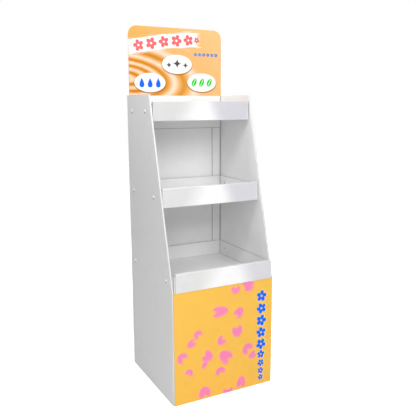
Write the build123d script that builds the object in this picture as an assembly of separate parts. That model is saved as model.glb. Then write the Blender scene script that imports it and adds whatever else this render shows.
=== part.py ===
from build123d import *
import math
import os

os.makedirs("parts", exist_ok=True)

# Single-wall corrugated board, every folded sheet is made of it
board = 3.0
# Air between the two plies where a sheet is folded back on itself
ply_gap = 1.0
# Outer radius where the board is creased and turned through a right angle
crease_radius = 2.5
# Flat left on the crest where a side is folded back
fold_crest = 0.04
# Play between two sheets that are glued or riveted face to face
sheet_play = 0.3

# Shell: left side, back and right side with folded-back linings
shell_width = 400.0
shell_depth = 388.0
shell_height = 1055.0
straight_front_height = 401.0
shell_top_depth = 217.0
flange_width = 37.0

# Header board with rounded top corners
header_rise = 250.0
header_drop = 124.0
header_corner_radius = 33.0
header_side_play = 0.5

# Trays
lip_height = 68.0
lip_end_inset = 4.4
lip_corner_radius = 5.0
lip_overhang = 5.0
corner_tab_length = 40.0
lock_tab_width = 40.0
lock_tab_place = 95.0
lock_slot_play = 0.5
tray_wall_height = 60.0
top_tray_height = 965.0
middle_tray_height = 675.0
bottom_tray_height = 403.0
top_tray_setback = 163.0
middle_tray_setback = 93.0

# Base box, and the printed sheet that is glued over its front and the side folds
base_inner_flap_length = 120.0
base_flap_gap = 2.0
front_panel_margin = 4.0

# Two-piece rivets that clamp the trays to the sides, pin and barrel are square
rivet_head_diameter = 18.0
rivet_head_height = 3.2
rivet_head_rim = 0.8
rivet_crown_diameter = 8.0
rivet_pin_width = 4.0
rivet_pin_length = 9.0
rivet_pin_play = 0.2
socket_flange_diameter = 16.0
socket_flange_thickness = 1.6
socket_skin = 0.8
socket_end_play = 0.5
socket_barrel_width = 6.2
socket_hole_play = 0.3
rivet_height = 33.0
rear_rivet_distance = 49.0
top_front_rivet_distance = 44.0
middle_front_rivet_distance = 52.0
bottom_front_rivet_distance = 52.0

# Sizes that follow from the ones above
side_thickness = 2 * board + ply_gap
fold_radius = (side_thickness - fold_crest) / 2
lip_thickness = 3 * board
inner_width = shell_width - 2 * side_thickness
flange_front = shell_depth - 2 * board
slope_run = shell_depth - shell_top_depth
slope_length = math.hypot(slope_run, shell_height - straight_front_height)
# The stand reaches from the bottom lip to the back, the origin is midway
middle_depth = (shell_depth - lip_overhang) / 2
socket_hole_diameter = math.sqrt(2) * socket_barrel_width + 2 * socket_hole_play
socket_length = side_thickness + sheet_play + board - socket_end_play
rear_rivet_place = shell_depth - rear_rivet_distance

tray_heights = [top_tray_height, middle_tray_height, bottom_tray_height]
tray_fronts = [top_tray_setback, middle_tray_setback, -lip_overhang]
# The header board stands between the top tray and the flanges
tray_backs = [
    flange_front - board - sheet_play,
    flange_front - sheet_play,
    flange_front - sheet_play,
]
front_rivet_distances = [
    top_front_rivet_distance,
    middle_front_rivet_distance,
    bottom_front_rivet_distance,
]
tray_names = ["top_tray", "middle_tray", "bottom_tray"]


def block(x0, x1, y0, y1, z0, z1):
    size = (x1 - x0, y1 - y0, z1 - z0)
    place = ((x0 + x1) / 2, (y0 + y1) / 2, (z0 + z1) / 2)
    return Pos(*place) * Box(*size)


def side_profile(inset, top, bottom):
    """Side outline in depth and height, moved back from the front edge."""
    slope_inset = inset * slope_length / (shell_height - straight_front_height)
    slope = slope_run / (shell_height - straight_front_height)
    knee = straight_front_height + (inset - slope_inset) / slope
    crest = slope * (top - straight_front_height) + slope_inset
    corners = [
        (inset, bottom),
        (shell_depth - inset, bottom),
        (shell_depth - inset, top),
        (crest, top),
        (inset, knee),
    ]
    return Plane.YZ * make_face(Polyline(*corners, close=True))


def is_front_edge(edge):
    """True for the long edges that follow the upright and sloping front."""
    middle = edge @ 0.5
    along = edge % 0.5
    if abs(along.X) > 0.01 or abs(along.Z) < 0.5:
        return False
    return middle.Y < shell_depth - shell_top_depth


def folded_side():
    """Right side: outer ply, rounded front fold and inner lining."""
    outline = side_profile(0, shell_height, 0)
    slab = extrude(outline, amount=side_thickness, dir=(1, 0, 0))
    slab = fillet(slab.edges().filter_by(is_front_edge), fold_radius)
    inner_outline = side_profile(board, shell_height + 1, -1)
    hollow = extrude(inner_outline, amount=ply_gap, dir=(1, 0, 0))
    slab = slab - Pos(board, 0, 0) * hollow
    return Pos(inner_width / 2, 0, 0) * slab


def side_holes(sign):
    """Rivet holes of one side, as cylinders to take away."""
    tools = []
    for height, front, distance in zip(tray_heights, tray_fronts, front_rivet_distances):
        for depth in (rear_rivet_place, front + distance):
            place = Pos(sign * shell_width / 2, depth, height + rivet_height)
            reach = 4 * side_thickness
            tools.append(place * Rot(0, 90, 0) * Cylinder(socket_hole_diameter / 2, reach))
    return tools


def make_shell():
    right = folded_side()
    left = mirror(right, about=Plane.YZ)
    half = shell_width / 2
    back = block(-half, half, shell_depth - board, shell_depth, 0, shell_height)
    flange = block(
        inner_width / 2 - flange_width,
        inner_width / 2 + board,
        flange_front,
        shell_depth - board,
        0,
        shell_height,
    )
    body = back + right + left + flange + mirror(flange, about=Plane.YZ)
    upright = body.edges().filter_by(Axis.Z)
    corners = [
        edge
        for edge in upright
        if abs(edge.center().Y - shell_depth) < 0.01
        and abs(abs(edge.center().X) - half) < 0.01
    ]
    body = fillet(corners, crease_radius)
    for sign in (-1, 1):
        for tool in side_holes(sign):
            body = body - tool
    return body


def make_header():
    width = inner_width - 2 * header_side_play
    height = header_rise + header_drop
    sheet = block(
        -width / 2,
        width / 2,
        flange_front - board,
        flange_front,
        shell_height - header_drop,
        shell_height + header_rise,
    )
    top = sheet.edges().filter_by(Axis.Y).sort_by(Axis.Z)[-2:]
    return fillet(top, header_corner_radius)


def make_lip(front, height):
    """Front lip folded back on itself, with a round crest and round ends."""
    half = inner_width / 2 - lip_end_inset
    back = front + lip_thickness
    middle = (front + back) / 2
    crest = height + lip_height - lip_thickness / 2
    slab = block(-half, half, front, back, height, crest)
    foot = slab.edges().filter_by(Axis.X).group_by(Axis.Z)[0].sort_by(Axis.Y)[0]
    slab = fillet(foot, crease_radius)
    roll = Pos(0, middle, crest) * Rot(0, 90, 0) * Cylinder(lip_thickness / 2, 2 * half)
    # The slot runs past the ends, so that both plies show there
    reach = half + board
    slot = block(-reach, reach, front + board, back - board, height + board, crest)
    slot_end = Pos(0, middle, crest) * Rot(0, 90, 0) * Cylinder(board / 2, 2 * reach)
    # Sunk below the lip, so that only its top corners are round
    sunk = lip_height / 2
    face = Pos(0, middle, height + (lip_height - sunk) / 2) * Box(
        2 * half, 2 * lip_thickness, lip_height + sunk
    )
    ends = face.edges().filter_by(Axis.Y).group_by(Axis.Z)[-1]
    face = fillet(ends, lip_corner_radius)
    return ((slab + roll) & face) - slot - slot_end


def lock_slots(front, height, play):
    """Slots in the floor behind the lip, or with no play the tabs in them."""
    back = front + lip_thickness
    width = lock_tab_width / 2 + play
    slot = block(
        -width, width, back - board - play, back + play, height - play, height + board
    )
    return Pos(-lock_tab_place, 0, 0) * slot + Pos(lock_tab_place, 0, 0) * slot


def make_tray(front, height, back):
    """Floor, back wall, two side walls and a doubled front lip."""
    half = inner_width / 2 - sheet_play
    tab_front = front + board
    top = height + tray_wall_height
    box = block(-half, half, tab_front, back, height, top)
    upright = box.edges().filter_by(Axis.Z)
    lower = box.edges().group_by(Axis.Z)[0].sort_by(Axis.Y)[1:]
    box = fillet(upright + lower, crease_radius)
    inside = block(
        -half + board, half - board, tab_front + board, back - board, height + board, top
    )
    between_tabs = block(
        -half + board + corner_tab_length,
        half - board - corner_tab_length,
        tab_front,
        tab_front + board,
        height + board,
        top,
    )
    tray = box - inside - between_tabs + make_lip(front, height)
    return tray - lock_slots(front, height, lock_slot_play) + lock_slots(front, height, 0)


def tray_with_holes(front, height, back, distance):
    tray = make_tray(front, height, back)
    for sign in (-1, 1):
        for depth in (rear_rivet_place, front + distance):
            place = Pos(sign * inner_width / 2, depth, height + rivet_height)
            drill = Rot(0, 90, 0) * Cylinder(socket_hole_diameter / 2, 4 * board)
            tray = tray - place * drill
    return tray


def make_base_box():
    """Open-topped box with a closed floor, it carries the bottom tray."""
    half = inner_width / 2 - sheet_play
    front = sheet_play
    back = flange_front - sheet_play
    middle = (front + back) / 2
    top = bottom_tray_height
    box = block(-half, half, front, back, 0, top)
    box = fillet(box.edges().filter_by(Axis.Z), crease_radius)
    inside = block(
        -half + board,
        half - board,
        front + board,
        back - board,
        board,
        top + 1,
    )
    box = box - inside
    slit = block(
        -half + board,
        half - board,
        middle - base_flap_gap / 2,
        middle + base_flap_gap / 2,
        -1,
        board + 1,
    )
    box = box - slit
    flap = block(
        half - board - base_inner_flap_length,
        half - board,
        front + board,
        back - board,
        board,
        2 * board,
    )
    return box + flap + mirror(flap, about=Plane.YZ)


def make_front_panel():
    """Printed sheet on the base, its top edge is tucked under the bottom lip."""
    half = shell_width / 2 - front_panel_margin
    return block(-half, half, -board, 0, 0, bottom_tray_height - sheet_play)


def square_bar(start, end, width):
    """Square bar along X, centred on the axis."""
    half = width / 2
    return block(start, end, -half, half, -half, half)


def rivet_button():
    """Low conical head and a square pin, X = 0 is the head's underside."""
    head = rivet_head_diameter / 2
    outline = Polyline(
        (-rivet_head_height, 0),
        (-rivet_head_height, rivet_crown_diameter / 2),
        (-rivet_head_rim, head),
        (0, head),
        (0, 0),
        close=True,
    )
    turned = revolve(make_face(outline), axis=Axis.X)
    return turned + square_bar(0, rivet_pin_length, rivet_pin_width)


def rivet_socket():
    """Round flange and a square barrel that takes the pin."""
    middle = -socket_flange_thickness / 2
    disc = Cylinder(socket_flange_diameter / 2, socket_flange_thickness)
    flange = Pos(middle, 0, 0) * Rot(0, 90, 0) * disc
    barrel = square_bar(0, socket_length, socket_barrel_width)
    blind_end = socket_skin - socket_flange_thickness
    bore = square_bar(blind_end, socket_length, rivet_pin_width + 2 * rivet_pin_play)
    return flange + barrel - bore


def rivets(piece, start):
    """Twelve copies: both sides of each tray, rear and front."""
    copies = []
    for height, front, distance in zip(tray_heights, tray_fronts, front_rivet_distances):
        for depth in (rear_rivet_place, front + distance):
            right = Pos(start, depth, height + rivet_height) * piece
            copies += [right, mirror(right, about=Plane.YZ)]
    return copies


def save(name, pieces):
    solids = []
    for piece in pieces:
        solids += (Pos(0, -middle_depth, 0) * piece).solids()
    shape = solids[0] if len(solids) == 1 else Compound(children=solids)
    shape.label = name
    export_step(shape, os.path.join("parts", name + ".step"))
    box = shape.bounding_box()
    volume = sum(solid.volume for solid in solids)
    print(name, len(solids), "solids", round(volume), box.min, box.max)


save("shell", [make_shell()])
save("header_board", [make_header()])
for name, front, height, back, distance in zip(
    tray_names, tray_fronts, tray_heights, tray_backs, front_rivet_distances
):
    save(name, [tray_with_holes(front, height, back, distance)])
save("base_box", [make_base_box()])
save("front_panel", [make_front_panel()])
# The buttons go in from outside, so they are turned to point inwards
save("rivet_buttons", rivets(Rot(0, 0, 180) * rivet_button(), shell_width / 2))
save("rivet_sockets", rivets(rivet_socket(), inner_width / 2 - sheet_play - board))
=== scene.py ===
import bpy
import math
import numpy as np
from mathutils import Matrix, Vector


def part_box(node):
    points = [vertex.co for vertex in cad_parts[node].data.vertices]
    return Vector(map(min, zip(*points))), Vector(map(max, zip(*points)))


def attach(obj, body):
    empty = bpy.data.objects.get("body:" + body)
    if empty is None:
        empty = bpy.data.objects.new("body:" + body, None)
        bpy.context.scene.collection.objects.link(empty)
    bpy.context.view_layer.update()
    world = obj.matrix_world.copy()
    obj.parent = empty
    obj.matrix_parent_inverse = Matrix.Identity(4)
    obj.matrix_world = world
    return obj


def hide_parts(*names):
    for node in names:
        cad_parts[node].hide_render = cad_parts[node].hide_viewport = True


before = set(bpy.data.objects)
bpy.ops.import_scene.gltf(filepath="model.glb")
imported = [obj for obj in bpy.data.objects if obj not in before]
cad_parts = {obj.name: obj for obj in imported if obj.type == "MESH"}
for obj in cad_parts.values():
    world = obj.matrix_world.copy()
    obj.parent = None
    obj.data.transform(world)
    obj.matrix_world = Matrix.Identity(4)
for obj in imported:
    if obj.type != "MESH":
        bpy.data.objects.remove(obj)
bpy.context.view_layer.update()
print("frame loaded:", len(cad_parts), "nodes")

mm = 0.001


# Helpers

def linearColour(hexText):
    # sRGB hex to the linear values that a shader socket takes
    parts = [int(hexText[i:i + 2], 16) / 255 for i in (1, 3, 5)]
    low = [part / 12.92 for part in parts]
    high = [((part + 0.055) / 1.055) ** 2.4 for part in parts]
    return [a if part <= 0.04045 else b for part, a, b in zip(parts, low, high)] + [1.0]


def addNode(tree, kind, inputs=None, **settings):
    # One node with its settings, its inputs given as values or as sockets to link
    node = tree.nodes.new(kind)
    for name, value in settings.items():
        setattr(node, name, value)
    for name, value in (inputs or {}).items():
        socket = node.inputs[name]
        if isinstance(value, bpy.types.NodeSocket):
            tree.links.new(value, socket)
        else:
            socket.default_value = value
    return node


def calc(tree, operation, *values, clamp=False):
    inputs = {i: value for i, value in enumerate(values)}
    return addNode(tree, "ShaderNodeMath", inputs, operation=operation, use_clamp=clamp).outputs[0]


def ramp(tree, value, low, high):
    # Smooth step from 0 at low to 1 at high, either way round
    inputs = {"Value": value, "From Min": low, "From Max": high}
    return addNode(tree, "ShaderNodeMapRange", inputs, interpolation_type="SMOOTHSTEP").outputs[0]


def mixColour(tree, factor, first, second, blend="MIX"):
    return addNode(tree, "ShaderNodeMix", data_type="RGBA", blend_type=blend,
                   inputs={0: factor, 6: first, 7: second}).outputs[2]


def newMaterial(name):
    material = bpy.data.materials.new(name)
    material.use_nodes = True
    tree = material.node_tree
    tree.nodes.clear()
    shader = addNode(tree, "ShaderNodeBsdfPrincipled")
    output = addNode(tree, "ShaderNodeOutputMaterial")
    tree.links.new(shader.outputs[0], output.inputs["Surface"])
    return material, tree, shader


def placeSockets(tree):
    # Object coordinates in millimetres, as three separate values
    coords = addNode(tree, "ShaderNodeTexCoord").outputs["Object"]
    scaled = addNode(tree, "ShaderNodeVectorMath", {0: coords, 1: (1000, 1000, 1000)},
                     operation="MULTIPLY").outputs[0]
    parts = addNode(tree, "ShaderNodeSeparateXYZ", {0: scaled}).outputs
    return scaled, parts[0], parts[1], parts[2]


seamCore = 0.35              # the share of a painted shade line's half width that is fully dark


def seam(tree, value, place, width):
    # 1 on a line at the place, fading to 0 at the width on both sides
    away = calc(tree, "ABSOLUTE", calc(tree, "SUBTRACT", value, place))
    return ramp(tree, away, width, width * seamCore)


def facing(tree, axis):
    # How far the surface faces along an axis, 0 to 1, whichever way
    normal = addNode(tree, "ShaderNodeNewGeometry").outputs["True Normal"]
    parts = addNode(tree, "ShaderNodeSeparateXYZ", {0: normal}).outputs
    return calc(tree, "ABSOLUTE", parts[axis])


def isFacing(tree, axis, least=0.5):
    return calc(tree, "GREATER_THAN", facing(tree, axis), least)


def combine(tree, operation, values):
    # One operation over all the values, from the first to the last
    total = values[0]
    for value in values[1:]:
        total = calc(tree, operation, total, value)
    return total


def allOf(tree, *masks):
    return combine(tree, "MULTIPLY", masks)


def anyOf(tree, *masks):
    return combine(tree, "MAXIMUM", masks)


def ellipse(tree, across, up, centre, half):
    # Distance from the centre, 1 on the outline: the root of (across / half)^2 + (up / half)^2
    across = calc(tree, "DIVIDE", calc(tree, "SUBTRACT", across, centre[0]), half[0])
    up = calc(tree, "DIVIDE", calc(tree, "SUBTRACT", up, centre[1]), half[1])
    total = calc(tree, "ADD", calc(tree, "MULTIPLY", across, across), calc(tree, "MULTIPLY", up, up))
    return calc(tree, "SQRT", total)


def dress(nodeName, material):
    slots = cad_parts[nodeName].data.materials
    slots.clear()
    slots.append(material)


# Sizes that are read from the frame, in millimetres

def boxInMm(nodeName):
    return [corner * 1000 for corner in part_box(nodeName)]


shellHigh = boxInMm("shell")[1]
headerLow, headerHigh = boxInMm("header_board")
frontLow = boxInMm("front_panel")[0]


# Clay-coated white corrugated board: a smooth, slightly chalky coat over faint
# paper mottle, with the flutes just felt as a washboard and open at cut edges

boardSheet = {
    "thickness": headerHigh.y - headerLow.y,
    "flutePitch": 6.5,       # B flute, crest to crest
    "mottleTint": "#FAFAFA",
    "mottleScale": 0.03,     # clouds about 30 mm across
    "mottleShare": 0.6,      # the rest of the tint comes from the fibres
    "fibreScale": 0.8,       # fibres drawn at 1.2 mm, coarser than real ones, so that they show
    "fibreRelief": 0.02,
    "bumpStrength": 0.6,
    "roughnessSpread": 0.06,
    "ior": 1.47,
    # at cut edges: the open flute hollows are painted shade, and the cut paper is drawn greyer than the
    # coat, partly its own tone and partly painted shade
    "hollow": "#8C867D",
    "paper": "#D3CFC8",
    "crestInset": 0.56,      # from the board's surface to the flutes' crests
    "mediumFade": (0.3, 0.75),   # from the middle of the wavy medium to where it ends
    "linerFade": (0.4, 0.75),    # the same from the board's surface
    # the colour of the painted shade in creases, corners and gaps
    "seamShade": "#646464",
}


def boardCoat(tree, shader, scaled, along, colour, finish):
    # Mottled colour, and a relief of fibres and of flutes, which is a sine wave along one
    # direction. The finish is the piece's own dictionary: fluteBump, roughness and specular
    look = boardSheet
    mottle = addNode(tree, "ShaderNodeTexNoise", {"Vector": scaled, "Scale": look["mottleScale"],
                                                  "Detail": 4.0, "Roughness": 0.6}).outputs["Fac"]
    fibre = addNode(tree, "ShaderNodeTexNoise", {"Vector": scaled, "Scale": look["fibreScale"],
                                                 "Detail": 3.0, "Roughness": 0.7}).outputs["Fac"]
    tint = calc(tree, "ADD", calc(tree, "MULTIPLY", mottle, look["mottleShare"]),
                calc(tree, "MULTIPLY", fibre, 1.0 - look["mottleShare"]))
    shade = ramp(tree, tint, 0.75, 0.25)
    body = mixColour(tree, shade, colour, linearColour(look["mottleTint"]), "MULTIPLY")
    wave = calc(tree, "SINE", calc(tree, "MULTIPLY", along, 2 * math.pi / look["flutePitch"]))
    relief = calc(tree, "ADD", calc(tree, "MULTIPLY", wave, finish["fluteBump"]),
                  calc(tree, "MULTIPLY", fibre, look["fibreRelief"]))
    bump = addNode(tree, "ShaderNodeBump", {"Strength": look["bumpStrength"], "Distance": mm,
                                            "Height": relief})
    tree.links.new(bump.outputs[0], shader.inputs["Normal"])
    spread = look["roughnessSpread"]
    rough = addNode(tree, "ShaderNodeMapRange", {"Value": fibre, "To Min": finish["roughness"] - spread,
                                                 "To Max": finish["roughness"] + spread}).outputs[0]
    tree.links.new(rough, shader.inputs["Roughness"])
    shader.inputs["IOR"].default_value = look["ior"]
    shader.inputs["Specular IOR Level"].default_value = finish["specular"]
    return body


def cutEdge(tree, body, mask, along, across):
    # Liner, wavy medium and the hollows between them, where the board was cut: the hollows are painted dark
    # as painted shade, and the paper is drawn greyer than the coat, partly as painted shade. The medium is
    # a sine wave along the edge, between the two liners
    look = boardSheet
    half = look["thickness"] / 2
    phase = calc(tree, "MULTIPLY", along, 2 * math.pi / look["flutePitch"])
    height = calc(tree, "MULTIPLY", calc(tree, "SINE", phase), half - look["crestInset"])
    fromMiddle = calc(tree, "SUBTRACT", across, half)
    gap = calc(tree, "ABSOLUTE", calc(tree, "SUBTRACT", fromMiddle, height))
    full, none = look["mediumFade"]
    medium = ramp(tree, gap, none, full)
    full, none = look["linerFade"]
    liner = ramp(tree, calc(tree, "ABSOLUTE", fromMiddle), half - none, half - full)
    paper = calc(tree, "MAXIMUM", medium, liner)
    pattern = mixColour(tree, paper, linearColour(look["hollow"]), linearColour(look["paper"]))
    return mixColour(tree, mask, body, pattern)


def shadeSeams(tree, body, mask, depth):
    # Painted shade: the thin dark line where two sheets meet or the board is creased inwards
    return mixColour(tree, calc(tree, "MULTIPLY", mask, depth), body, linearColour(boardSheet["seamShade"]))


shellLook = {
    "colour": "#F2F2F2",
    "foldPaintedShade": "#F0F0F0",   # painted shade: the front faces of the folds are drawn a little greyer
    "fluteBump": 0.03,
    "roughness": 0.5,
    "specular": 0.35,
    "sideThickness": 7.0,    # two plies and the gap between them
    "flangeWidth": 37.0,
    "seamWidth": 1.9,
    "flangeSeamShift": 0.4,  # the painted shade lines lie just beside the edges, on the sheet behind
    "footSeamShift": 0.6,
    "cornerWidth": 5.5,      # the back corners are wide, soft folds, and their painted shade is wide too
    "sideCornerShare": 0.6,  # and look narrower on the sides
    "seamDepth": 0.64,
    "slack": 0.5,            # how far a mask reaches past the surface that it is for
}


def shellMaterial():
    material, tree, shader = newMaterial("clayCoatedWhiteBoardShell")
    scaled, x, y, z = placeSockets(tree)
    thickness = boardSheet["thickness"]
    slack = shellLook["slack"]
    # The flutes stand upright: they are counted along y on the sides and along x on the back
    along = addNode(tree, "ShaderNodeMix", {0: isFacing(tree, 0), 2: x, 3: y}).outputs[0]
    body = boardCoat(tree, shader, scaled, along, linearColour(shellLook["colour"]), shellLook)
    # Painted shade on the faces across y, away from the back, which are mostly the front folds
    onFold = allOf(tree, isFacing(tree, 1, 0.4), calc(tree, "LESS_THAN", y, shellHigh.y - 3 * thickness))
    body = mixColour(tree, onFold, body, linearColour(shellLook["foldPaintedShade"]), "MULTIPLY")
    # Both plies of the sides, and of the back where a flange lies on it, are cut at top and bottom
    inSide = calc(tree, "GREATER_THAN", calc(tree, "ABSOLUTE", x), shellHigh.x - shellLook["sideThickness"])
    fromSide = calc(tree, "SUBTRACT", shellHigh.x, calc(tree, "ABSOLUTE", x))
    lining = calc(tree, "GREATER_THAN", fromSide, thickness + slack)
    liningStart = shellLook["sideThickness"] - thickness
    sideAcross = calc(tree, "SUBTRACT", fromSide, calc(tree, "MULTIPLY", lining, liningStart))
    fromBack = calc(tree, "SUBTRACT", shellHigh.y, y)
    flange = calc(tree, "GREATER_THAN", fromBack, thickness)
    backAcross = calc(tree, "SUBTRACT", fromBack, calc(tree, "MULTIPLY", flange, thickness))
    across = addNode(tree, "ShaderNodeMix", {0: inSide, 2: backAcross, 3: sideAcross}).outputs[0]
    run = addNode(tree, "ShaderNodeMix", {0: inSide, 2: x, 3: y}).outputs[0]
    nearTop = calc(tree, "GREATER_THAN", z, shellHigh.z - slack)
    nearFloor = calc(tree, "LESS_THAN", z, slack)
    mask = allOf(tree, isFacing(tree, 2, 0.9), anyOf(tree, nearTop, nearFloor))
    colour = cutEdge(tree, body, mask, run, across)
    # Painted shade lines in the creases and corners inside the shell
    colour = shadeSeams(tree, colour, shellSeamShade(tree, x, y, z), shellLook["seamDepth"])
    tree.links.new(colour, shader.inputs["Base Color"])
    return material


def shellSeamShade(tree, x, y, z):
    # Painted shade lines, inside only: beside the flanges' free edges, in the two back corners and under
    # the header board's foot
    thickness = boardSheet["thickness"]
    slack = shellLook["slack"]
    width = shellLook["seamWidth"]
    inner = shellHigh.x - shellLook["sideThickness"]
    away = calc(tree, "ABSOLUTE", x)
    backInside = allOf(tree, isFacing(tree, 1), calc(tree, "LESS_THAN", y, shellHigh.y - thickness + slack),
                       calc(tree, "GREATER_THAN", y, shellHigh.y - 2 * thickness - slack))
    sideInside = allOf(tree, isFacing(tree, 0), calc(tree, "LESS_THAN", away, inner + slack))
    flangeEnd = inner - shellLook["flangeWidth"] - shellLook["flangeSeamShift"]
    flangeEdge = allOf(tree, seam(tree, away, flangeEnd, width),
                       calc(tree, "GREATER_THAN", y, shellHigh.y - thickness - slack))
    onBack = anyOf(tree, flangeEdge, seam(tree, away, inner, shellLook["cornerWidth"]),
                   seam(tree, z, headerLow.z - shellLook["footSeamShift"], width))
    onSide = seam(tree, y, shellHigh.y - 2 * thickness,
                  shellLook["sideCornerShare"] * shellLook["cornerWidth"])
    return anyOf(tree, allOf(tree, backInside, onBack), allOf(tree, sideInside, onSide))


whiteBoard = shellMaterial()
for boardNode in ("shell", "base_box"):
    dress(boardNode, whiteBoard)
print("shell and base box dressed")


# Trays: the same board, with a soft silver-white sheen painted on their lips as a painted highlight

trayLook = {
    "colour": "#F1F1F1",
    "fluteBump": 0.015,
    "roughness": 0.45,
    "specular": 0.35,
    # the colours of the painted sheen on each lip, on its left, in its middle and on its right
    "lipLeft": {"top_tray": "#D6D6D6", "middle_tray": "#E1E1E1", "bottom_tray": "#E4E4E4"},
    "lipMiddle": {"top_tray": "#F7F7F7", "middle_tray": "#FFFFFF", "bottom_tray": "#FFFFFF"},
    "lipRight": {"top_tray": "#D5D4DA", "middle_tray": "#DAD9DF", "bottom_tray": "#DFDEE4"},
    # the painted highlight on the lip's rolled rim, and below it the painted shade on the top of the roll
    "rim": "#FFFFFF",
    "rimLift": 0.2,          # how far the lip's rolled rim goes towards the rim's painted highlight colour
    "rimTopShade": "#D9D9D9",
    "rimWidth": 3.6,
    "lipFace": (4.2, 4.6),   # the sheen ends between these two depths behind the lip's face
    "lipDepth": 9.6,
    "lipEndInset": 4.1,
    # shade in the narrow gap at each end of the lip, at its foot and at its top
    "gapShade": {"top_tray": (0.1, 0.75), "middle_tray": (0.05, 0.3), "bottom_tray": (0.08, 0.12)},
    "gapReach": (0.8, 16.0),     # depths behind the lip's face between which the gap lies
    "wallHeight": 60.0,
    "rimSlack": 0.6,         # how far the mask of the walls' cut tops reaches up and down
    "seamStart": 19.5,       # the painted shade lines along the creases start behind the lip
    "seamWidth": 1.5,
    "floorSeamShare": 0.7,   # the line at a wall's foot and the one at its rim are narrower
    "rimSeamShare": 0.8,
    "cornerWidth": 3.2,
    "seamDepth": 0.52,
    "slack": 0.3,
    # where the light band on the lip starts and ends, on its left and on its right
    "leftStart": -115.0,
    "leftEnd": 0.0,
    "rightStart": {"top_tray": 12.0, "middle_tray": 27.0, "bottom_tray": 37.0},
    "rightEnd": {"top_tray": 82.0, "middle_tray": 100.0, "bottom_tray": 124.0},
    "fan": 30.0,             # how far each side of the band moves out, from the lip's top to its foot
}


def trayMaterial(nodeName):
    material, tree, shader = newMaterial("whiteBoardTray_" + nodeName)
    scaled, x, y, z = placeSockets(tree)
    low, high = boxInMm(nodeName)
    look = trayLook
    away = calc(tree, "ABSOLUTE", x)
    behind = calc(tree, "SUBTRACT", y, low.y)
    lipEnd = high.x - look["lipEndInset"]
    # The lip's face carries the painted sheen
    onLip = ramp(tree, behind, look["lipFace"][1], look["lipFace"][0])
    face = mixColour(tree, onLip, linearColour(look["colour"]),
                     lipPaintedSheen(tree, nodeName, x, z, away, low, high))
    body = boardCoat(tree, shader, scaled, x, face, look)
    # Cut edges on top of the side and back walls
    fromSide = calc(tree, "SUBTRACT", high.x, away)
    onSide = calc(tree, "LESS_THAN", fromSide, boardSheet["thickness"] + 0.2)
    fromBack = calc(tree, "SUBTRACT", high.y, y)
    across = addNode(tree, "ShaderNodeMix", {0: onSide, 2: fromBack, 3: fromSide}).outputs[0]
    run = addNode(tree, "ShaderNodeMix", {0: onSide, 2: x, 3: y}).outputs[0]
    wallTop = calc(tree, "COMPARE", z, low.z + look["wallHeight"], look["rimSlack"])
    colour = cutEdge(tree, body, allOf(tree, isFacing(tree, 2, 0.9), wallTop), run, across)
    # Cut ends of the lip's plies
    ends = allOf(tree, isFacing(tree, 0, 0.9), calc(tree, "LESS_THAN", behind, look["lipDepth"]))
    colour = cutEdge(tree, colour, ends, z, behind)
    # Shade in the gap between the lip's end and the side
    gapLow, gapHigh = look["gapShade"][nodeName]
    depth = addNode(tree, "ShaderNodeMapRange", {"Value": z, "From Min": low.z, "From Max": high.z,
                                                 "To Min": gapLow, "To Max": gapHigh}).outputs[0]
    gapStart, gapStop = look["gapReach"]
    inGap = allOf(tree, depth, calc(tree, "GREATER_THAN", away, lipEnd - 0.4),
                  calc(tree, "GREATER_THAN", behind, gapStart), calc(tree, "LESS_THAN", behind, gapStop))
    colour = shadeSeams(tree, colour, inGap, 1.0)
    # Painted shade in the trays' creases and corners
    colour = shadeSeams(tree, colour, traySeamShade(tree, x, y, z, low, high), look["seamDepth"])
    tree.links.new(colour, shader.inputs["Base Color"])
    return material


def lipPaintedSheen(tree, nodeName, x, z, away, low, high):
    # Painted sheen, a painted highlight: a light band on the lip's face that fades to grey on the left and
    # to lilac grey on the right
    look = trayLook
    lift = calc(tree, "MULTIPLY", calc(tree, "SUBTRACT", z, (low.z + high.z) / 2),
                look["fan"] / (high.z - low.z))
    leftPart = ramp(tree, calc(tree, "SUBTRACT", x, lift), look["leftStart"], look["leftEnd"])
    rightPart = ramp(tree, calc(tree, "ADD", x, lift),
                     look["rightStart"][nodeName], look["rightEnd"][nodeName])
    left, middle, right = [linearColour(look["lip" + part][nodeName])
                           for part in ("Left", "Middle", "Right")]
    band = mixColour(tree, rightPart, mixColour(tree, leftPart, left, middle), right)
    # Painted highlight: the rolled rim is drawn lighter all round
    width = look["rimWidth"]
    lipEnd = high.x - look["lipEndInset"]
    rim = anyOf(tree, ramp(tree, away, lipEnd - width, lipEnd - 0.5 * width),
                ramp(tree, z, low.z + width, low.z + 0.5 * width),
                ramp(tree, z, high.z - width, high.z - 0.5 * width))
    band = mixColour(tree, calc(tree, "MULTIPLY", rim, look["rimLift"]), band, linearColour(look["rim"]))
    # and painted shade: the top of the roll, which catches the light from above, is drawn a little darker
    rollTop = allOf(tree, isFacing(tree, 2, 0.6), calc(tree, "GREATER_THAN", z, high.z - width))
    return mixColour(tree, rollTop, band, linearColour(look["rimTopShade"]))


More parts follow.
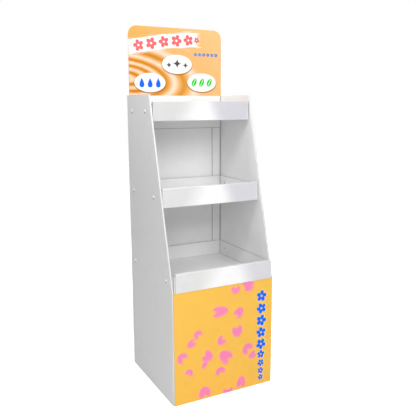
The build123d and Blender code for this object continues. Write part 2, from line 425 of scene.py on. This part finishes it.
def traySeamShade(tree, x, y, z, low, high):
    # Painted shade lines: along the creases between floor and walls, in the open corners, and along the
    # walls' upper rims
    look = trayLook
    thickness = boardSheet["thickness"]
    width = look["seamWidth"]
    away = calc(tree, "ABSOLUTE", x)
    innerSide = high.x - thickness
    innerBack = high.y - thickness
    behindLip = calc(tree, "GREATER_THAN", y, low.y + look["seamStart"])
    onFloor = allOf(tree, calc(tree, "COMPARE", z, low.z + thickness, look["slack"]),
                    anyOf(tree, seam(tree, away, innerSide, width), seam(tree, y, innerBack, width)))
    wall = anyOf(tree, seam(tree, z, low.z + thickness, look["floorSeamShare"] * width),
                 seam(tree, z, low.z + look["wallHeight"], look["rimSeamShare"] * width))
    onSide = allOf(tree, calc(tree, "COMPARE", away, innerSide, look["slack"]),
                   anyOf(tree, wall, seam(tree, y, innerBack, look["cornerWidth"])))
    onBack = allOf(tree, calc(tree, "COMPARE", y, innerBack, look["slack"]),
                   anyOf(tree, wall, seam(tree, away, innerSide, look["cornerWidth"])))
    return allOf(tree, behindLip, anyOf(tree, onFloor, onSide, onBack))


for trayName in ("top_tray", "middle_tray", "bottom_tray"):
    dress(trayName, trayMaterial(trayName))
print("trays dressed")


# Small printed shapes that repeat: u and v run from -1 to 1 across each of them

shapeSoftness = 0.07         # half the width of a printed edge, as a share of the shape's half size


def flowerOutline(tree, u, v):
    # Five round petals: the outline's radius is 0.46 + 0.5 |cos 2.5 a|^0.7 at the angle a, which
    # swells and narrows five times in a turn, and a small eye in the middle stays open
    turn = calc(tree, "ARCTAN2", v, u)
    swell = calc(tree, "ABSOLUTE", calc(tree, "COSINE", calc(tree, "MULTIPLY", turn, 2.5)))
    outline = calc(tree, "ADD", calc(tree, "MULTIPLY", calc(tree, "POWER", swell, 0.7), 0.5), 0.46)
    away = calc(tree, "SQRT", calc(tree, "ADD", calc(tree, "MULTIPLY", u, u), calc(tree, "MULTIPLY", v, v)))
    petals = ramp(tree, calc(tree, "SUBTRACT", outline, away), -shapeSoftness, shapeSoftness)
    return calc(tree, "MULTIPLY", petals, ramp(tree, away, 0.13, 0.25))


def dropOutline(tree, u, v):
    # Where v is cos t, the half width is 1.25 sin t times sin(t / 2) to the power 1.5
    rest = calc(tree, "SUBTRACT", 1.0, calc(tree, "MULTIPLY", v, v))
    body = calc(tree, "SQRT", calc(tree, "MAXIMUM", rest, 0.0))
    taper = calc(tree, "MULTIPLY", calc(tree, "SUBTRACT", 1.0, v), 0.5, clamp=True)
    half = calc(tree, "MULTIPLY", body, calc(tree, "POWER", taper, 0.75))
    edge = calc(tree, "SUBTRACT", calc(tree, "MULTIPLY", half, 1.25), calc(tree, "ABSOLUTE", u))
    ends = ramp(tree, rest, 0.0, 0.1)
    return calc(tree, "MULTIPLY", ramp(tree, edge, -shapeSoftness, shapeSoftness), ends)


def leafOutline(tree, u, v):
    # A lens with the half width 1 - v squared, and its midrib left white
    rest = calc(tree, "SUBTRACT", 1.0, calc(tree, "MULTIPLY", v, v))
    edge = calc(tree, "SUBTRACT", rest, calc(tree, "ABSOLUTE", u))
    midrib = ramp(tree, calc(tree, "ABSOLUTE", u), 0.04, 0.16)
    return calc(tree, "MULTIPLY", ramp(tree, edge, -shapeSoftness, shapeSoftness), midrib)


def sparkleOutline(tree, u, v):
    # Four points: inside, the square roots of |u| and |v| add up to less than 1
    total = calc(tree, "ADD", calc(tree, "SQRT", calc(tree, "ABSOLUTE", u)),
                 calc(tree, "SQRT", calc(tree, "ABSOLUTE", v)))
    return ramp(tree, total, 1.0 + shapeSoftness, 1.0 - shapeSoftness)


def shapeGroup(name, outline, extra=()):
    # The outline as a group of its own, with an input for each extra value that it takes
    group = bpy.data.node_groups.new(name, "ShaderNodeTree")
    group.interface.new_socket("Place", in_out="INPUT", socket_type="NodeSocketVector")
    for inputName in extra:
        group.interface.new_socket(inputName, in_out="INPUT", socket_type="NodeSocketFloat")
    group.interface.new_socket("Mask", in_out="OUTPUT", socket_type="NodeSocketFloat")
    source = addNode(group, "NodeGroupInput")
    target = addNode(group, "NodeGroupOutput")
    parts = addNode(group, "ShaderNodeSeparateXYZ", {0: source.outputs["Place"]}).outputs
    values = [source.outputs[inputName] for inputName in extra]
    group.links.new(outline(group, parts[0], parts[1], *values), target.inputs["Mask"])
    return group


def stampShape(tree, flat, shape, x, z, turn, scale, extra=None):
    # One copy of a shape at x and z, turned by degrees, where u and v grow by 1 over the scale
    place = addNode(tree, "ShaderNodeMapping", {
        "Vector": flat, "Location": (x, z, 0), "Rotation": (0, 0, math.radians(turn)),
        "Scale": (*scale, 1)}, vector_type="TEXTURE").outputs[0]
    inputs = {"Place": place, **(extra or {})}
    return addNode(tree, "ShaderNodeGroup", inputs, node_tree=shape).outputs[0]


def stampShapes(tree, flat, shape, stamps):
    # Each stamp is x, z, turn in degrees, width and height in millimetres
    return anyOf(tree, *[stampShape(tree, flat, shape, x, z, turn, (width / 2, height / 2))
                         for x, z, turn, width, height in stamps])


flowerShape = shapeGroup("flowerShape", flowerOutline)
dropShape = shapeGroup("dropShape", dropOutline)
leafShape = shapeGroup("leafShape", leafOutline)
sparkleShape = shapeGroup("sparkleShape", sparkleOutline)


# Both printed boards: matt offset ink on the front liner, plain board behind, open cut edges

printedBoard = {
    "fluteBump": 0.02,
    "roughness": 0.5,
    "specular": 0.18,        # the ink is duller than the bare coat
    "inkDepth": (0.2, 0.3),      # the ink ends between these two depths behind the front
}


def frontFace(tree, y, front):
    # 1 on the board's front, 0 behind it
    full, none = printedBoard["inkDepth"]
    return ramp(tree, y, front + none, front + full)


def printedCoat(tree, shader, scaled, x, y, front, colour):
    # The coat over the print, with the flutes open on all four cut edges
    body = boardCoat(tree, shader, scaled, x, colour, printedBoard)
    edges = calc(tree, "LESS_THAN", facing(tree, 1), 0.5)
    return cutEdge(tree, body, edges, x, calc(tree, "SUBTRACT", y, front))


# Front panel: offset-printed sheet with loose pink petals on warm orange

frontPrint = {
    "ground": "#FFC857",
    "petal": "#FF8DC0",
    "softness": 0.13,        # of a petal's edge, as a share of its size
    "notchHalf": 0.3,
    "flower": "#006EFF",
    "halo": "#FFE27C",
    "haloSize": 1.14,
    "haloShift": 1.6,
    "columnPlace": 151.0,
    # height, size and turn of each flower in the column
    "column": [(341, 45, 10), (294, 43, 40), (248, 45, 0), (202, 43, 25), (157, 44, 55), (117, 34, 15),
               (83, 30, 45), (53, 27, 5), (26, 24, 30)],
    # the tip's x and z, direction in degrees, length, width, and the notch's share of the length
    "petals": [
        (70, 402, -20, 52, 34, 0.2),
        (80, 372, 32, 40, 34, 0.3),
        (42, 366, 88, 30, 40, 0.35),
        (14, 312, 180, 66, 42, 0.28),
        (73, 310, 222, 44, 40, 0.3),
        (53, 203, 98, 46, 46, 0.25),
        (-118, 254, -44, 29, 38, 0.36),
        (-147, 205, 34, 36, 30, 0.3),
        (-28, 191, 42, 36, 38, 0.38),
        (80, 166, -48, 38, 52, 0.4),
        (98, 115, 22, 36, 30, 0.3),
        (-180, 184, -46, 34, 46, 0.4),
        (-50, 144, 148, 44, 46, 0.26),
        (-92, 114, 52, 32, 20, 0.1),
        (-20, 160, -42, 60, 52, 0.3),
        (-22, 105, -78, 30, 44, 0.38),
        (-134, 124, -120, 27, 34, 0.38),
        (70, 50, -96, 46, 40, 0.25),
        (-84, 46, -84, 44, 52, 0.28),
        (12, -12, 90, 30, 46, 0.3),
    ],
}


def petalOutline(tree, u, v, notch):
    # A notched petal: u runs from its tip to its notch and v across it, both 0 to 1. The half
    # width is 0.88 u^0.62 (1 - u)^0.38, and a wedge is taken out of its far end
    across = calc(tree, "ABSOLUTE", v)
    inside = calc(tree, "MINIMUM", calc(tree, "MAXIMUM", u, 0.0), 1.0)
    rise = calc(tree, "POWER", inside, 0.62)
    fall = calc(tree, "POWER", calc(tree, "SUBTRACT", 1.0, inside), 0.38)
    halfWidth = calc(tree, "MULTIPLY", calc(tree, "MULTIPLY", rise, fall), 0.88)
    # Nothing is printed behind the tip
    tip = ramp(tree, u, -0.02, 0.06)
    wedge = calc(tree, "SUBTRACT", 1.0, calc(tree, "DIVIDE", across, frontPrint["notchHalf"], clamp=True))
    reach = calc(tree, "SUBTRACT", 1.0, calc(tree, "MULTIPLY", wedge, notch))
    soft = frontPrint["softness"]
    sideEdge = ramp(tree, calc(tree, "SUBTRACT", halfWidth, across), -soft, soft)
    endEdge = ramp(tree, calc(tree, "SUBTRACT", reach, u), -soft, soft)
    return allOf(tree, tip, sideEdge, endEdge)


def frontMaterial():
    material, tree, shader = newMaterial("offsetPrintedBoardFront")
    scaled, x, y, z = placeSockets(tree)
    flat = addNode(tree, "ShaderNodeCombineXYZ", {0: x, 1: z}).outputs[0]
    look = frontPrint
    petalShape = shapeGroup("petalShape", petalOutline, ("Notch",))
    petals = [stampShape(tree, flat, petalShape, tipX, tipZ, direction, (length, width), {"Notch": notch})
              for tipX, tipZ, direction, length, width, notch in look["petals"]]
    ink = mixColour(tree, anyOf(tree, *petals), linearColour(look["ground"]), linearColour(look["petal"]))
    # The column of blue flowers, each over a pale halo that is a little larger and shifted
    for colour, grow, shift in (("halo", look["haloSize"], look["haloShift"]), ("flower", 1, 0)):
        stamps = [(look["columnPlace"] + shift, height, turn, size * grow, size * grow)
                  for height, size, turn in look["column"]]
        flowers = stampShapes(tree, flat, flowerShape, stamps)
        ink = mixColour(tree, flowers, ink, linearColour(look[colour]))
    colour = mixColour(tree, frontFace(tree, y, frontLow.y), linearColour(shellLook["colour"]), ink)
    body = printedCoat(tree, shader, scaled, x, y, frontLow.y, colour)
    tree.links.new(body, shader.inputs["Base Color"])
    return material


dress("front_panel", frontMaterial())
print("front panel dressed:", len(frontPrint["petals"]), "petals")


# Header board: printed above the shell's top edge only, white board below and behind

headerPrint = {
    "groundLeft": "#FFAB59",
    "groundRight": "#FFCA88",
    "groundSpan": (-190.0, 160.0),
    "groundLean": 0.45,      # the orange pales towards the upper right corner
    "darkLeft": "#C87800",
    "darkRight": "#D99A38",
    "paleLeft": "#FBD5B9",
    "paleRight": "#FEE2CB",
    "ringSpan": (-190.0, 40.0),
    "white": "#FFFFFF",
    "plain": "#F0F0F0",
    "rippleCentre": (-200.0, 1117.0),
    "rippleFlatten": 2.29,
    "rippleSlant": 0.09,
    # distance from the centre, in millimetres, and how dark or pale the ring is there
    "rippleRings": [(0, 0.5), (22, 1.0), (49, -1.0), (78, 1.0), (105, -1.0), (131, 1.0), (156, -1.0),
                    (190, 1.0), (231, -1.0), (281, 1.0), (323, 0.0)],
    "ovals": [(2.0, 1172.0), (-110.0, 1102.5), (107.0, 1105.5)],
    "ovalHalf": (62.5, 35.5),
    "ovalEdge": (1.012, 0.988),
    # the soft printed shadow below each oval
    "shadow": "#84500F",
    "shadowDrop": 3.5,
    "shadowEdge": (1.09, 0.97),
    "shadowDepth": 0.8,
    "strokeHeight": 1258.5,
    "strokeSlope": 0.095,
    "strokeBend": -0.00034,
    "strokeHalf": 26.0,
    "strokeStart": -193.0,
    "strokeEnd": 92.0,
    "streakScale": (0.012, 0.22),    # streaks about 80 mm long and 5 mm wide
    "fray": 70.0,            # how far the streaks fray the stroke's end
    "frayEdge": 0.22,        # and the shares of it at its long edges, its skirt and its start
    "fraySkirt": 0.7,
    "frayStart": 0.5,
    "skirtHalf": 28.0,       # streaks of thin paint beside the stroke
    "skirtStrength": 0.5,
    "blossom": "#FF6A6C",
    # place and size of each flower on the stroke
    "blossoms": [(-153, 44), (-103, 46), (-52, 44), (0, 46), (50, 43), (86, 24)],
    "shapeGap": 33,          # between the drops and between the leaves
    "drop": "#0068FF",
    "dropSize": (22, 36),
    "leaf": "#0CDA06",
    "leafSize": (19, 40),
    "leafTurn": -28,
    "sparkle": "#4B4B4B",
    # shift, rise and size of each sparkle
    "sparkles": [(-34, -3, 30), (0, 3, 44), (35, -3, 30)],
    "dot": "#0080DC",
    "dotPlaces": (80, 98, 116, 134, 152, 170),
    "dotSize": 15,
    "dotHeight": 1211.0,
}


def leftToRight(tree, place, ink, span):
    # The ink's left colour, which turns into its right one over the span
    start, end = headerPrint[span]
    part = addNode(tree, "ShaderNodeMapRange", {"Value": place, "From Min": start, "From Max": end})
    return mixColour(tree, part.outputs[0], linearColour(headerPrint[ink + "Left"]),
                     linearColour(headerPrint[ink + "Right"]))


def rippleColour(tree, x, z, ground):
    # Flattened rings round a point on the left edge, each ring a stop on a smooth ramp
    look = headerPrint
    rings = look["rippleRings"]
    reach = rings[-1][0]
    centre = look["rippleCentre"]
    # The rings lean down to the right
    lean = calc(tree, "MULTIPLY", calc(tree, "SUBTRACT", x, centre[0]), look["rippleSlant"])
    half = (reach, reach / look["rippleFlatten"])
    distance = ellipse(tree, x, calc(tree, "ADD", z, lean), centre, half)
    stops = addNode(tree, "ShaderNodeValToRGB", {0: distance})
    stops.color_ramp.interpolation = "EASE"
    points = stops.color_ramp.elements
    while len(points) < len(rings):
        points.new(1.0)
    for point, (place, level) in zip(points, rings):
        point.position = place / reach
        value = 0.5 + level / 2
        point.color = (value, value, value, 1.0)
    level = calc(tree, "SUBTRACT", calc(tree, "MULTIPLY", stops.outputs[0], 2.0), 1.0)
    dark = calc(tree, "MULTIPLY", level, -1.0, clamp=True)
    pale = calc(tree, "MULTIPLY", level, 1.0, clamp=True)
    # Both inks get lighter from the left edge to the middle of the board
    darkInk, paleInk = [leftToRight(tree, x, ink, "ringSpan") for ink in ("dark", "pale")]
    return mixColour(tree, pale, mixColour(tree, dark, ground, darkInk), paleInk)


def strokeMiddle(x):
    # Height of the stroke's middle line, a slow bend
    look = headerPrint
    return look["strokeHeight"] + look["strokeSlope"] * x + look["strokeBend"] * x * x


def brushStroke(tree, x, z):
    # A bent dry-brush stroke: streaks run along it and fray its ends
    look = headerPrint
    bend = calc(tree, "MULTIPLY", calc(tree, "MULTIPLY", x, x), look["strokeBend"])
    slope = calc(tree, "MULTIPLY", x, look["strokeSlope"])
    middle = calc(tree, "ADD", calc(tree, "ADD", bend, slope), look["strokeHeight"])
    offset = calc(tree, "SUBTRACT", z, middle)
    along, across = look["streakScale"]
    streakPlace = addNode(tree, "ShaderNodeCombineXYZ", {
        0: calc(tree, "MULTIPLY", x, along), 1: calc(tree, "MULTIPLY", offset, across)}).outputs[0]
    streak = addNode(tree, "ShaderNodeTexNoise", {"Vector": streakPlace, "Scale": 1.0, "Detail": 3.0},
                     noise_dimensions="2D").outputs["Fac"]
    fray = calc(tree, "MULTIPLY", calc(tree, "SUBTRACT", streak, 0.5), look["fray"])
    away = calc(tree, "ABSOLUTE", offset)
    edge = calc(tree, "ADD", calc(tree, "SUBTRACT", look["strokeHalf"], away),
                calc(tree, "MULTIPLY", fray, look["frayEdge"]))
    skirt = calc(tree, "ADD", calc(tree, "SUBTRACT", look["skirtHalf"], away),
                 calc(tree, "MULTIPLY", fray, look["fraySkirt"]))
    end = calc(tree, "ADD", calc(tree, "SUBTRACT", look["strokeEnd"], x), fray)
    start = calc(tree, "ADD", calc(tree, "SUBTRACT", x, look["strokeStart"]),
                 calc(tree, "MULTIPLY", fray, look["frayStart"]))
    # The paint thins out over a few millimetres at each of its edges
    thin = calc(tree, "MULTIPLY", ramp(tree, skirt, -3.0, 5.0), look["skirtStrength"])
    paint = calc(tree, "MAXIMUM", ramp(tree, edge, -2.5, 3.5), thin)
    return allOf(tree, paint, ramp(tree, end, -6.0, 10.0), ramp(tree, start, -5.0, 5.0))


def headerShapes(tree, x, z, ink):
    # Coral flowers along the stroke, a row of shapes in each oval and a small blue row. The
    # flowers are turned by their place, so that no two look alike
    flat = addNode(tree, "ShaderNodeCombineXYZ", {0: x, 1: z}).outputs[0]
    look = headerPrint
    blossoms = [(place, strokeMiddle(place), 0.7 * place, size, size) for place, size in look["blossoms"]]
    dots = [(place, look["dotHeight"], 3 * place, look["dotSize"], look["dotSize"])
            for place in look["dotPlaces"]]
    middleOval, leftOval, rightOval = look["ovals"]
    shifts = (-look["shapeGap"], 0, look["shapeGap"])
    drops = [(leftOval[0] + shift, leftOval[1], 0, *look["dropSize"]) for shift in shifts]
    leaves = [(rightOval[0] + shift, rightOval[1], look["leafTurn"], *look["leafSize"])
              for shift in shifts]
    sparkles = [(middleOval[0] + shift, middleOval[1] + rise, 0, size, size)
                for shift, rise, size in look["sparkles"]]
    for shape, stamps, colour in ((flowerShape, blossoms, "blossom"), (flowerShape, dots, "dot"),
                                  (dropShape, drops, "drop"), (leafShape, leaves, "leaf"),
                                  (sparkleShape, sparkles, "sparkle")):
        ink = mixColour(tree, stampShapes(tree, flat, shape, stamps), ink, linearColour(look[colour]))
    return ink


def headerMaterial():
    material, tree, shader = newMaterial("offsetPrintedBoardHeader")
    scaled, x, y, z = placeSockets(tree)
    look = headerPrint
    lean = calc(tree, "MULTIPLY", calc(tree, "SUBTRACT", z, headerHigh.z), look["groundLean"])
    ground = leftToRight(tree, calc(tree, "ADD", x, lean), "ground", "groundSpan")
    ink = rippleColour(tree, x, z, ground)
    white = linearColour(look["white"])
    ink = mixColour(tree, brushStroke(tree, x, z), ink, white)
    for centre in look["ovals"]:
        below = (centre[0], centre[1] - look["shadowDrop"])
        shadow = ramp(tree, ellipse(tree, x, z, below, look["ovalHalf"]), *look["shadowEdge"])
        shadow = calc(tree, "MULTIPLY", shadow, look["shadowDepth"])
        ink = mixColour(tree, shadow, ink, linearColour(look["shadow"]))
        oval = ramp(tree, ellipse(tree, x, z, centre, look["ovalHalf"]), *look["ovalEdge"])
        ink = mixColour(tree, oval, ink, white)
    ink = headerShapes(tree, x, z, ink)
    # The print ends at the height of the shell's top edge, and the board is plain below it
    aboveShell = ramp(tree, z, shellHigh.z - 0.3, shellHigh.z + 0.3)
    printed = calc(tree, "MULTIPLY", aboveShell, frontFace(tree, y, headerLow.y))
    colour = mixColour(tree, printed, linearColour(look["plain"]), ink)
    colour = printedCoat(tree, shader, scaled, x, y, headerLow.y, colour)
    # Painted shade where the shell's back corners run down beside the board's foot
    corner = allOf(tree, seam(tree, calc(tree, "ABSOLUTE", x), headerHigh.x, shellLook["cornerWidth"]),
                   calc(tree, "LESS_THAN", z, shellHigh.z))
    colour = shadeSeams(tree, colour, corner, shellLook["seamDepth"])
    tree.links.new(colour, shader.inputs["Base Color"])
    return material


dress("header_board", headerMaterial())
print("header board dressed")


# Rivets: injection-moulded white polypropylene, smooth with a faint satin skin

rivetLook = {
    "colour": "#EEEEEF",
    "cloudTint": "#E5E5E7",
    "roughness": 0.34,
    "ior": 1.49,
    "headRadius": 9.0,
    "headHeight": 3.2,
    "brimHeight": 0.5,
    "crownRadius": 6.0,
    "crownPower": 2.6,       # 2 would be an ellipse, more is squarer
    "pinHalf": 2.0,
    "pinLength": 9.0,
    "shade": "#5A5A5A",
    "slopeDrop": 4.9,        # the shaded lower slope of a head, below its middle
    "slopeHalf": (7.5, 3.5),
    "slopeEdge": (1.2, 0.6),     # where its shade starts and where it is full, as shares of slopeHalf
    "slopeDepth": 0.55,
    "rise": 33.0,            # above a tray's underside
    "rearPlace": 147.5,      # depth of all the rear rivets
    # how far each tray's front rivets are behind its front
    "frontSetback": {"top_tray": 44.0, "middle_tray": 52.0, "bottom_tray": 52.0},
}


def rivetMaterial():
    material, tree, shader = newMaterial("mouldedWhitePolypropylene")
    scaled, x, y, z = placeSockets(tree)
    look = rivetLook
    # Faint clouds 4 mm across, where the plastic cooled unevenly
    cloud = addNode(tree, "ShaderNodeTexNoise",
                    {"Vector": scaled, "Scale": 0.25, "Detail": 2.0}).outputs["Fac"]
    tinted = mixColour(tree, ramp(tree, cloud, 0.3, 0.7), linearColour(look["cloudTint"]),
                       linearColour(look["colour"]))
    # How far a point is from the nearest rivet's middle, as a square, and from its lower slope
    squares, slopes = [], []
    for depth, height in sorted({place[1:] for place in rivetPlaces()}):
        across = calc(tree, "ABSOLUTE", calc(tree, "SUBTRACT", y, depth))
        up = calc(tree, "ABSOLUTE", calc(tree, "SUBTRACT", z, height))
        squares.append(calc(tree, "MAXIMUM", across, up))
        slopes.append(ellipse(tree, y, z, (depth, height - look["slopeDrop"]), look["slopeHalf"]))
    away = calc(tree, "ABSOLUTE", x)
    # The pin's square end shows in the middle of each socket, inside the tray, and lies in shade
    inTray = calc(tree, "LESS_THAN", away, shellHigh.x - look["pinLength"] - 0.5)
    square = ramp(tree, combine(tree, "MINIMUM", squares), look["pinHalf"] + 0.7, look["pinHalf"] - 0.1)
    tinted = mixColour(tree, allOf(tree, square, inTray), tinted, linearColour(look["shade"]))
    # Outside, the lower slope of each domed head is in its own shade
    outside = calc(tree, "GREATER_THAN", away, shellHigh.x)
    slope = ramp(tree, combine(tree, "MINIMUM", slopes), *look["slopeEdge"])
    lowSlope = allOf(tree, slope, outside, look["slopeDepth"])
    tinted = mixColour(tree, lowSlope, tinted, linearColour(look["shade"]))
    tree.links.new(tinted, shader.inputs["Base Color"])
    # Mould grain of 0.4 mm
    grain = addNode(tree, "ShaderNodeTexNoise",
                    {"Vector": scaled, "Scale": 2.5, "Detail": 2.0}).outputs["Fac"]
    bump = addNode(tree, "ShaderNodeBump", {"Strength": 0.3, "Distance": 0.02 * mm, "Height": grain})
    tree.links.new(bump.outputs[0], shader.inputs["Normal"])
    shader.inputs["Roughness"].default_value = look["roughness"]
    shader.inputs["IOR"].default_value = look["ior"]
    shader.inputs["Subsurface Weight"].default_value = 0.05
    shader.inputs["Subsurface Scale"].default_value = 0.002
    return material


def headSurface(crownRings=12, brimRings=6, segments=48):
    # Surface of revolution about X: a domed crown on a thin brim. Both are quarters of a
    # superellipse, r = R sin(t)^(2/n) and h = H cos(t)^(2/n), where n is the crown's power, and 2
    # for the brim, whose radius is added outside the crown. Both ends close in a pole
    look = rivetLook
    power = 2 / look["crownPower"]
    t = np.linspace(0.06, math.pi / 2, crownRings)
    rise = look["headHeight"] - look["brimHeight"]
    crownRadius = look["crownRadius"] * np.sin(t) ** power
    crownHeight = look["brimHeight"] + rise * np.clip(np.cos(t), 0, 1) ** power
    t = np.linspace(0.0, math.pi / 2, brimRings + 1)[1:]
    width = look["headRadius"] - look["crownRadius"]
    brimRadius = look["crownRadius"] + width * np.sin(t)
    brimHeight = look["brimHeight"] * np.clip(np.cos(t), 0, 1)
    radius = np.concatenate([crownRadius, brimRadius])
    height = np.concatenate([crownHeight, brimHeight])
    rings = crownRings + brimRings
    turn = np.linspace(0, 2 * math.pi, segments, endpoint=False)
    ring = np.stack([np.repeat(height, segments), np.outer(radius, np.cos(turn)).ravel(),
                     np.outer(radius, np.sin(turn)).ravel()], axis=1)
    poles = np.array([[height[0], 0, 0], [0, 0, 0]])
    here = np.arange(segments)
    after = (here + 1) % segments
    steps = np.arange(rings - 1)[:, None] * segments
    quads = np.stack([steps + here, steps + segments + here, steps + segments + after, steps + after],
                     axis=2)
    last = (rings - 1) * segments
    crown = np.stack([np.full(segments, rings * segments), here, after], axis=1)
    foot = np.stack([np.full(segments, rings * segments + 1), last + after, last + here], axis=1)
    faces = [list(face) for part in (quads.reshape(-1, 4), crown, foot) for face in part.tolist()]
    return np.concatenate([ring, poles]), faces


def pinSurface():
    # Square bar along X from inside the head to the pin's end
    half, end = rivetLook["pinHalf"], -rivetLook["pinLength"]
    points = np.array([[x, y, z] for x in (end, 0.5) for y in (-half, half) for z in (-half, half)])
    faces = [[0, 1, 3, 2], [4, 6, 7, 5], [0, 4, 5, 1], [2, 3, 7, 6], [0, 2, 6, 4], [1, 5, 7, 3]]
    return points, faces


def rivetPlaces():
    # Side, depth and height of each rivet: two on each side of each tray
    places = []
    for trayName, setback in rivetLook["frontSetback"].items():
        low = boxInMm(trayName)[0]
        for depth in (rivetLook["rearPlace"], low.y + setback):
            places += [(side, depth, low.z + rivetLook["rise"]) for side in (-1, 1)]
    return places


def makeRivetHeads():
    points, faces = [], []
    for side, depth, height in rivetPlaces():
        for shapePoints, shapeFaces in (headSurface(), pinSurface()):
            start = sum(len(part) for part in points)
            placed = shapePoints * (side, 1, 1) + (side * shellHigh.x, depth, height)
            points.append(placed * mm)
            # A mirrored copy's faces are turned round, so that they still point outwards
            faces += [[start + i for i in (face if side > 0 else face[::-1])] for face in shapeFaces]
    mesh = bpy.data.meshes.new("rivetHeads")
    mesh.from_pydata(np.concatenate(points).tolist(), [], faces)
    mesh.shade_smooth()
    mesh.set_sharp_from_angle(angle=math.radians(40))
    heads = bpy.data.objects.new("rivetHeads", mesh)
    bpy.context.scene.collection.objects.link(heads)
    mesh.materials.append(rivetPlastic)
    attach(heads, "root")
    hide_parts("rivet_buttons")


rivetPlastic = rivetMaterial()
dress("rivet_sockets", rivetPlastic)
makeRivetHeads()
print("rivets made and dressed")


# Floor, light and camera

stageLook = {
    "floorSize": 16.0,
    "floorColour": "#F0F0F0",
    # the floor's own white, seen by the camera and in reflections only, grows outwards
    "floorGlow": 0.6,
    "glowNear": 0.35,
    "glowFar": 1.3,
    "skyLevel": 0.06,        # the light that the white sky gives the object
    "aim": (0.0, 0.0, 0.65),
    # name, place in metres, power in watts, size in metres
    "lamps": [
        ("keyLamp", (-0.7, -2.6, 2.3), 10.4, 1.2),
        ("highRightLamp", (0.6, -2.6, 2.4), 32.0, 1.2),
        ("lowFrontLamp", (-0.2, -3.2, 0.7), 6.6, 1.2),
        ("leftHighLamp", (-1.2, -1.8, 2.6), 10.4, 1.2),
        ("leftMidLamp", (-1.3, -1.7, 1.1), 6.8, 1.0),
        ("aboveLamp", (-0.75, 0.05, 2.1), 5.4, 0.3),
        ("nearLamp", (-0.6, -0.6, 1.8), 4.9, 0.3),
        ("footLamp", (-0.7, -0.9, 0.06), 0.9, 0.3),
        ("rightFill", (2.2, 0.4, 1.1), 20.0, 1.4),
        ("backFill", (0.4, 2.2, 1.1), 17.0, 1.4),
    ],
}


def seenDirectly(tree):
    paths = addNode(tree, "ShaderNodeLightPath").outputs
    return anyOf(tree, paths["Is Camera Ray"], paths["Is Glossy Ray"], paths["Is Transmission Ray"])


def makeFloor():
    half = stageLook["floorSize"] / 2
    corners = [(-half, -half, -mm), (half, -half, -mm), (half, half, -mm), (-half, half, -mm)]
    mesh = bpy.data.meshes.new("studioFloor")
    mesh.from_pydata(corners, [], [(0, 1, 2, 3)])
    floor = bpy.data.objects.new("studioFloor", mesh)
    bpy.context.scene.collection.objects.link(floor)
    material = bpy.data.materials.new("paintedStudioFloor")
    material.use_nodes = True
    tree = material.node_tree
    tree.nodes.clear()
    paint = addNode(tree, "ShaderNodeBsdfDiffuse", {"Color": linearColour(stageLook["floorColour"])})
    coords = addNode(tree, "ShaderNodeTexCoord").outputs["Object"]
    away = addNode(tree, "ShaderNodeVectorMath", {0: coords}, operation="LENGTH").outputs["Value"]
    outward = ramp(tree, away, stageLook["glowNear"], stageLook["glowFar"])
    glowLevel = addNode(tree, "ShaderNodeMix", {0: outward, 2: stageLook["floorGlow"], 3: 1.0}).outputs[0]
    strength = calc(tree, "MULTIPLY", seenDirectly(tree), glowLevel)
    glow = addNode(tree, "ShaderNodeEmission", {"Strength": strength})
    both = addNode(tree, "ShaderNodeAddShader", {0: paint.outputs[0], 1: glow.outputs[0]})
    addNode(tree, "ShaderNodeOutputMaterial", {"Surface": both.outputs[0]})
    mesh.materials.append(material)


def makeWorld():
    world = bpy.data.worlds.new("studioSky")
    bpy.context.scene.world = world
    world.use_nodes = True
    tree = world.node_tree
    tree.nodes.clear()
    level = addNode(tree, "ShaderNodeMix", {0: seenDirectly(tree), 2: stageLook["skyLevel"], 3: 1.0})
    sky = addNode(tree, "ShaderNodeBackground", {"Color": (1, 1, 1, 1), "Strength": level.outputs[0]})
    addNode(tree, "ShaderNodeOutputWorld", {"Surface": sky.outputs[0]})


def addLamp(name, place, power, size):
    lamp = bpy.data.lights.new(name, "AREA")
    lamp.energy = power
    lamp.size = size
    holder = bpy.data.objects.new(name, lamp)
    holder.location = place
    direction = Vector(stageLook["aim"]) - Vector(place)
    holder.rotation_euler = direction.to_track_quat("-Z", "Y").to_euler()
    # A lamp never stands in front of the object in a picture
    holder.visible_camera = False
    bpy.context.scene.collection.objects.link(holder)


cameraLook = {
    "place": (-0.9079, -1.8028, 1.0158),
    "yaw": -27.616,
    "pitch": -10.406,
    "roll": -0.145,
    "lens": 48.1,
    "sensor": 36.0,
}


def makeCamera():
    # Yaw turns the view about Z, pitch tilts it up, and roll turns the picture about the view
    yaw, pitch, roll = [math.radians(cameraLook[name]) for name in ("yaw", "pitch", "roll")]
    ahead = Vector((-math.sin(yaw) * math.cos(pitch), math.cos(yaw) * math.cos(pitch), math.sin(pitch)))
    right = Vector((math.cos(yaw), math.sin(yaw), 0.0))
    up = right.cross(ahead)
    rightTurned = math.cos(roll) * right + math.sin(roll) * up
    upTurned = math.cos(roll) * up - math.sin(roll) * right
    data = bpy.data.cameras.new("photoCamera")
    data.lens = cameraLook["lens"]
    data.sensor_width = cameraLook["sensor"]
    camera = bpy.data.objects.new("photoCamera", data)
    turn = Matrix((rightTurned, upTurned, -ahead)).transposed()
    camera.matrix_world = Matrix.Translation(Vector(cameraLook["place"])) @ turn.to_4x4()
    bpy.context.scene.collection.objects.link(camera)
    bpy.context.scene.camera = camera


makeFloor()
makeWorld()
for lampName, lampPlace, lampPower, lampSize in stageLook["lamps"]:
    addLamp(lampName, lampPlace, lampPower, lampSize)
makeCamera()
bpy.context.scene.view_settings.view_transform = "Standard"
print("floor, light and camera made")
